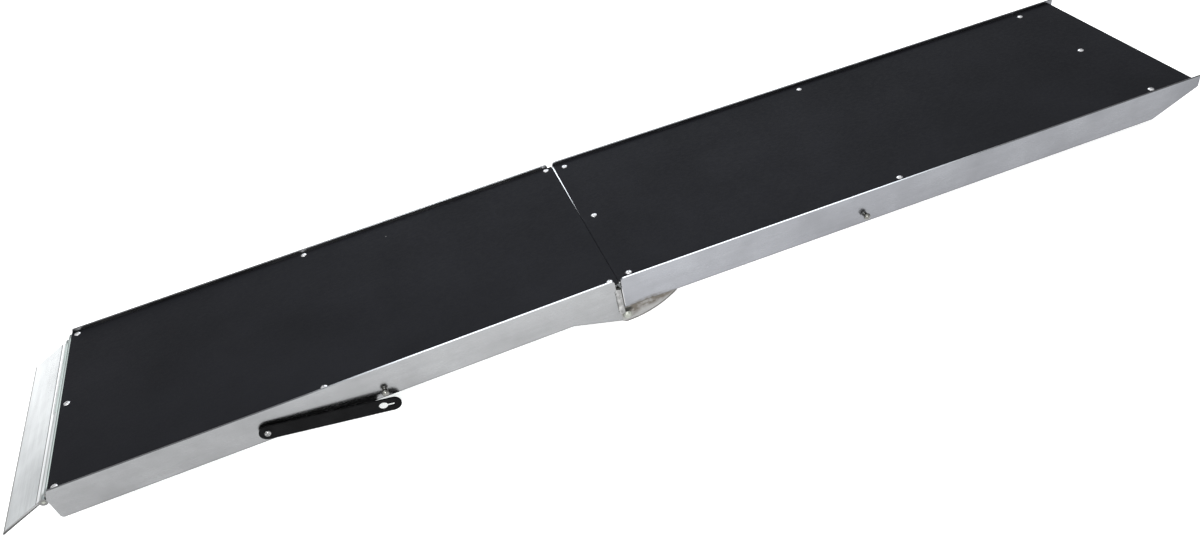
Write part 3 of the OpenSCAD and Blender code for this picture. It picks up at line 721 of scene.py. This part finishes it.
def fastenerFinish(name, tint, roughness, shine=0.25, metallic=1.0):
    material, tree, shader, place = newMaterial(name, {"Metallic": metallic})
    scuffs = noise(tree, place, 500, (1, 1, 1), 4, 0.6)
    low, high = tuple(c * (1 - shine) for c in tint), tuple(c * (1 + shine) for c in tint)
    link(tree, blendColours(tree, spread(tree, scuffs, 0.35, 0.65), low, high),
         shader.inputs["Base Color"])
    link(tree, spread(tree, scuffs, 0.3, 0.7, roughness - 0.05, roughness + 0.09),
         shader.inputs["Roughness"])
    bumps(tree, shader, (scuffs, 0.0001, 0.15))
    return material


zinc = fastenerFinish("brightZinc", hardware["zinc"], hardware["roughness"])
dull = fastenerFinish("dullZinc", hardware["dull"], 0.45)
studSteel = fastenerFinish("studSteel", hardware["stud"], 0.17)
screwSteel = fastenerFinish("screwSteel", hardware["screw"], 0.24, 0.5)
nylon = fastenerFinish("washerNylon", hardware["nylon"], 0.5, 0.15, 0.0)
for name, finish, width in (("pivot_bolts", dull, 0.3), ("pivot_nuts", zinc, 0.4),
                            ("strap_screw", screwSteel, 0.15), ("strap_spacer", zinc, 0.3),
                            ("strap_nut", zinc, 0.3), ("storage_stud", studSteel, 0.2),
                            ("storage_stud_nut", zinc, 0.3), ("catch_stud", studSteel, 0.2),
                            ("catch_stud_nut", zinc, 0.3), ("flap_pin", dull, 0.3)):
    dress(name, finish, width)
dress("pivot_washers", nylon, 0.15)
print("ramp: bolts and studs dressed")

# blind rivets, set by a node tree on the points of a small mesh

rivet = {"head": 10.0, "rise": 1.8, "tail": 7.0, "tailRise": 4.0, "tint": (0.52, 0.52, 0.53),
         "roughness": 0.16, "lowerRows": (-818, -443, -12), "lowerSide": 168,
         "upperRows": (19, 470, 930), "upperSide": 162, "overLedge": 7.2, "overBar": 6.2}
leafRivet = {"head": 7.0, "rise": 1.4, "tail": 7.0, "tailRise": 4.0}
leafRow = {"count": 6, "width": 349, "x": -832.5, "z": -24, "clamped": 6.5}


def rivetTree():
    tree = bpy.data.node_groups.new("rivetSetter", "GeometryNodeTree")
    keys = {"Places": treeInput(tree, "Places", "NodeSocketGeometry"),
            "Head": treeInput(tree, "Head", "NodeSocketObject"),
            "Tail": treeInput(tree, "Tail", "NodeSocketObject"),
            "Head size": treeInput(tree, "Head size", "NodeSocketVector"),
            "Tail size": treeInput(tree, "Tail size", "NodeSocketVector"),
            "Seed": treeInput(tree, "Seed", "NodeSocketInt", 3),
            "Finish": treeInput(tree, "Finish", "NodeSocketMaterial")}
    tree.interface.new_socket("Rivets", in_out="OUTPUT", socket_type="NodeSocketGeometry")
    entry = node(tree, "NodeGroupInput")
    turn = node(tree, "FunctionNodeRandomValue", data_type="FLOAT_VECTOR")
    turn.inputs[0].default_value = (-0.04, -0.04, 0)
    turn.inputs[1].default_value = (0.04, 0.04, 2 * pi)
    link(tree, entry.outputs["Seed"], turn.inputs["Seed"])
    # the tail sits below whatever the rivet clamps
    clamp = node(tree, "GeometryNodeInputNamedAttribute", {"Name": "clamp"},
                 data_type="FLOAT")
    down = node(tree, "ShaderNodeCombineXYZ")
    link(tree, calc(tree, "MULTIPLY", clamp.outputs["Attribute"], -1.0), down.inputs["Z"])
    moved = node(tree, "GeometryNodeSetPosition")
    link(tree, entry.outputs["Places"], moved.inputs["Geometry"])
    link(tree, down.outputs[0], moved.inputs["Offset"])
    join = node(tree, "GeometryNodeJoinGeometry")
    for points, part in ((entry.outputs["Places"], "Head"), (moved.outputs[0], "Tail")):
        shape = node(tree, "GeometryNodeObjectInfo")
        link(tree, entry.outputs[part], shape.inputs["Object"])
        placed = node(tree, "GeometryNodeInstanceOnPoints")
        link(tree, points, placed.inputs["Points"])
        link(tree, shape.outputs["Geometry"], placed.inputs["Instance"])
        link(tree, turn.outputs[0], placed.inputs["Rotation"])
        link(tree, entry.outputs[part + " size"], placed.inputs["Scale"])
        link(tree, placed.outputs[0], join.inputs[0])
    finishTree(tree, join.outputs[0], entry.outputs["Finish"])
    return tree, keys


def placesMesh(name, places):
    # places are (x, y, clamped depth)
    mesh = bpy.data.meshes.new(name)
    mesh.from_pydata([(x, y, 0) for x, y, clamped in places], [], [])
    depth = mesh.attributes.new("clamp", "FLOAT", "POINT")
    for i, (x, y, clamped) in enumerate(places):
        depth.data[i].value = clamped
    return mesh


headShape = turnedShape("rivetHead", [
    (0, 0), (4.7, 0), (4.98, 0.12), (5, 0.3), (4.93, 0.45), (4.5, 0.72), (3.9, 1.05),
    (3.2, 1.35), (2.5, 1.57), (1.8, 1.72), (1.35, 1.78), (1.18, 1.72), (1.08, 1.4),
    (1.02, 0.7), (0.8, 0.5), (0.4, 0.6), (0, 0.62)], 32)
tailShape = turnedShape("rivetTail", [
    (0, -4), (0.9, -3.95), (1.0, -3.4), (1.6, -3.55), (2.5, -3.5), (3.2, -3.1), (3.5, -2.3),
    (3.45, -1.3), (3.1, -0.5), (2.6, 0), (0, 0)], 20)
rivetAlloy = fastenerFinish("rivetAlloy", rivet["tint"], rivet["roughness"], 0.12)
setter = rivetTree()


def setRivets(name, places, sizes, seed, stand, replaced):
    across, rise = sizes["head"] / rivet["head"], sizes["rise"] / rivet["rise"]
    wide, deep = sizes["tail"] / rivet["tail"], sizes["tailRise"] / rivet["tailRise"]
    piece = runTree(name, placesMesh(name, places), setter, {
        "Head": headShape, "Tail": tailShape, "Head size": (across, across, rise),
        "Tail size": (wide, wide, deep), "Seed": seed, "Finish": rivetAlloy})
    piece.data.transform(stand)
    return settle(piece, bodyOf[replaced], rivetAlloy, [replaced])


def deckPlaces(rows, side, middles):
    # a pair of rivets in every row, and one more in the middle of some
    return ([(x, end * side, rivet["overLedge"]) for x in rows for end in (-1, 1)]
            + [(x, 0, rivet["overBar"]) for x in middles])


setRivets("lowerDeckRivets", deckPlaces(rivet["lowerRows"], rivet["lowerSide"],
                                        rivet["lowerRows"][:1]),
          rivet, 3, lowerHalf, "lower_deck_rivets")
setRivets("upperDeckRivets", deckPlaces(rivet["upperRows"], rivet["upperSide"],
                                        rivet["upperRows"][::2]),
          rivet, 5, upperHalf, "upper_deck_rivets")
leafStep = leafRow["width"] / leafRow["count"]
setRivets("leafRivets", [(0, (i + 0.5) * leafStep - leafRow["width"] / 2, leafRow["clamped"])
                         for i in range(leafRow["count"])],
          leafRivet, 7, lowerHalf @ Matrix.Translation((leafRow["x"], 0, leafRow["z"]))
          @ Matrix.Rotation(-pi / 2, 4, "Y"), "flap_leaf_rivets")
for shape in (headShape, tailShape):
    bpy.data.objects.remove(shape)
print("ramp: rivets set")

# camera, light and floor

shot = {"place": (-0.26566, -1.21682, 0.98456), "lens": 28.749,
        "right": (0.929667, -0.320806, -0.181119), "down": (-0.340793, -0.562149, -0.753557),
        "forward": (0.13993, 0.762281, -0.631939)}
cameraData = bpy.data.cameras.new("studioCamera")
cameraData.lens = shot["lens"]
cameraData.sensor_width = 36
cameraData.sensor_fit = "HORIZONTAL"
camera = newPiece("studioCamera", cameraData)
turned = Matrix((shot["right"], [-v for v in shot["down"]],
                 [-v for v in shot["forward"]])).transposed()
camera.matrix_world = Matrix.Translation(shot["place"]) @ turned.to_4x4()
bpy.context.scene.camera = camera

light = {"sky": (1.3, 1.3, 1.3), "horizon": (0.34, 0.35, 0.36), "overhead": (0.2, 0.8),
         "front": (0.25, -0.25), "right": (0.35, 0.85, 1.0, 0.55),
         "cool": (0.86, 0.93, 1.0), "white": (1, 1, 1)}
softBoxes = [
    # name, place, aim, width, height, watts, colour
    ("backBox", (0.45, 1.55, 1.42), (0.15, 0, 0), 2.5, 0.75, 17.0, light["cool"]),
    ("topBox", (-0.9, -0.5, 2.3), (0, 0, 0), 1.0, 1.0, 11, light["white"]),
    ("flapBox", (-2.0, 2.2, 0.4), (-0.9, 0.15, 0.05), 1.6, 0.8, 4.6, light["white"]),
    ("floorBox", (-0.25, -1.4, 0.9), (-0.2, -0.6, 0), 0.6, 0.5, 14.0, light["white"]),
]
for name, place, aim, width, height, watts, colour in softBoxes:
    data = bpy.data.lights.new(name, "AREA")
    data.shape = "RECTANGLE"
    data.size, data.size_y = width, height
    data.energy = watts
    data.color = colour
    lamp = newPiece(name, data)
    facing = (Vector(aim) - Vector(place)).to_track_quat("-Z", "Y").to_matrix().to_4x4()
    lamp.matrix_world = Matrix.Translation(place) @ facing


def studioSky():
    # bright overhead and in front, dim at the back horizon and to the right
    world = bpy.data.worlds.new("studioSky")
    world.use_nodes = True
    tree = world.node_tree
    facing = node(tree, "ShaderNodeTexCoord").outputs["Generated"]
    overhead = spread(tree, axis(tree, facing, "Z"), *light["overhead"])
    front = spread(tree, axis(tree, facing, "Y"), *light["front"])
    right = spread(tree, axis(tree, facing, "X"), *light["right"])
    openSky = calc(tree, "MULTIPLY", calc(tree, "MAXIMUM", overhead, front), right)
    link(tree, blendColours(tree, openSky, light["horizon"], light["sky"]),
         tree.nodes["Background"].inputs["Color"])
    return world


bpy.context.scene.world = studioSky()
bpy.context.scene.view_settings.view_transform = "Standard"

paper = {"reach": 60, "top": -0.0005, "low": (0.93, 0.93, 0.93), "high": (0.955, 0.955, 0.955),
         "roughness": 0.9, "gloss": 0.1, "glow": 0.5, "shadeX": (-0.05, -0.025, 0.012),
         "shadeY": (-0.12, -0.06, 0.02)}


def paperFinish():
    # a little self-lit, with a painted shadow right under the fold's slots where it does not glow
    material, tree, shader, place = newMaterial("palePaper", {
        "Roughness": paper["roughness"], "Specular IOR Level": paper["gloss"],
        "Emission Color": (1, 1, 1, 1)})
    link(tree, blendColours(tree, noise(tree, place, 3), paper["low"], paper["high"]),
         shader.inputs["Base Color"])
    # painted shadow: no glow under the fold's slots
    shade = calc(tree, "MULTIPLY", within(tree, axis(tree, place, "X"), *paper["shadeX"]),
                 within(tree, axis(tree, place, "Y"), *paper["shadeY"]))
    link(tree, spread(tree, shade, 0, 1, paper["glow"], 0), shader.inputs["Emission Strength"])
    return material


floorMesh = bpy.data.meshes.new("studioFloor")
floorMesh.from_pydata([(x * paper["reach"], y * paper["reach"], paper["top"])
                       for x, y in ((-1, -1), (1, -1), (1, 1), (-1, 1))], [], [(0, 1, 2, 3)])
floorMesh.materials.append(paperFinish())
floor = newPiece("studioFloor", floorMesh)
print("ramp: camera, light and floor set")
